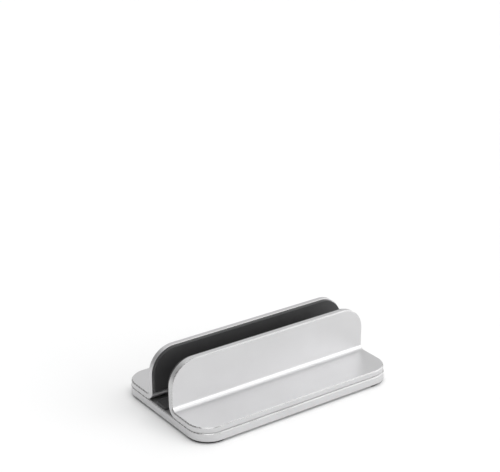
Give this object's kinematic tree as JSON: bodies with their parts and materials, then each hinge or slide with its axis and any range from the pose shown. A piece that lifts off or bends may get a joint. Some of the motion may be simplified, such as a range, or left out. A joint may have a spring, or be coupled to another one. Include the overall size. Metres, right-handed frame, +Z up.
{
  "type": "vertical laptop docking stand",
  "caption": "Upright aluminium stand that holds a closed laptop on its long edge in a padded slot, whose width is set by sliding one angle bracket along the base and clamping it.",
  "frame": {"origin": "centre of the base plate in plan, on the plane that the feet stand on", "axes": "+X along the slot to the right, -Y to the front where the sliding bracket is, +Z up from the desk"},
  "size_m": [0.15, 0.0914, 0.0424],
  "materials": {
    "anodised_aluminium": "bead-blasted, satin silver anodised, with bright diamond-cut edges",
    "silicone_pad": "matt black silicone sheet",
    "foot_rubber": "matt black rubber",
    "screw_steel": "plain stainless steel"
  },
  "bodies": {
    "stand": {"base_plate": "anodised_aluminium", "rear_bracket": "anodised_aluminium", "rear_wall_pad": "silicone_pad", "slot_floor_pad": "silicone_pad", "foot_front_left": "foot_rubber", "foot_front_right": "foot_rubber", "foot_rear_left": "foot_rubber", "foot_rear_right": "foot_rubber", "rear_screw_left": "screw_steel", "rear_screw_right": "screw_steel"},
    "slider": {"front_bracket": "anodised_aluminium", "front_wall_pad": "silicone_pad", "clamp_washer_left": "screw_steel", "clamp_washer_right": "screw_steel"},
    "clamp_screw_left": {"clamp_screw_left": "screw_steel"},
    "clamp_screw_right": {"clamp_screw_right": "screw_steel"}
  },
  "joints": [
    {"name": "bracket_slide", "type": "slide", "parent": "stand", "child": "slider", "axis": [0, -1, 0], "range_m": [-0.003, 0.016]},
    {"name": "clamp_screw_left_turn", "type": "hinge", "parent": "slider", "child": "clamp_screw_left", "pos_m": [-0.045, -0.02155, 0.005], "axis": [0, 0, -1], "range_deg": [0, 360]},
    {"name": "clamp_screw_right_turn", "type": "hinge", "parent": "slider", "child": "clamp_screw_right", "pos_m": [0.045, -0.02155, 0.005], "axis": [0, 0, -1], "range_deg": [0, 360]}
  ]
}
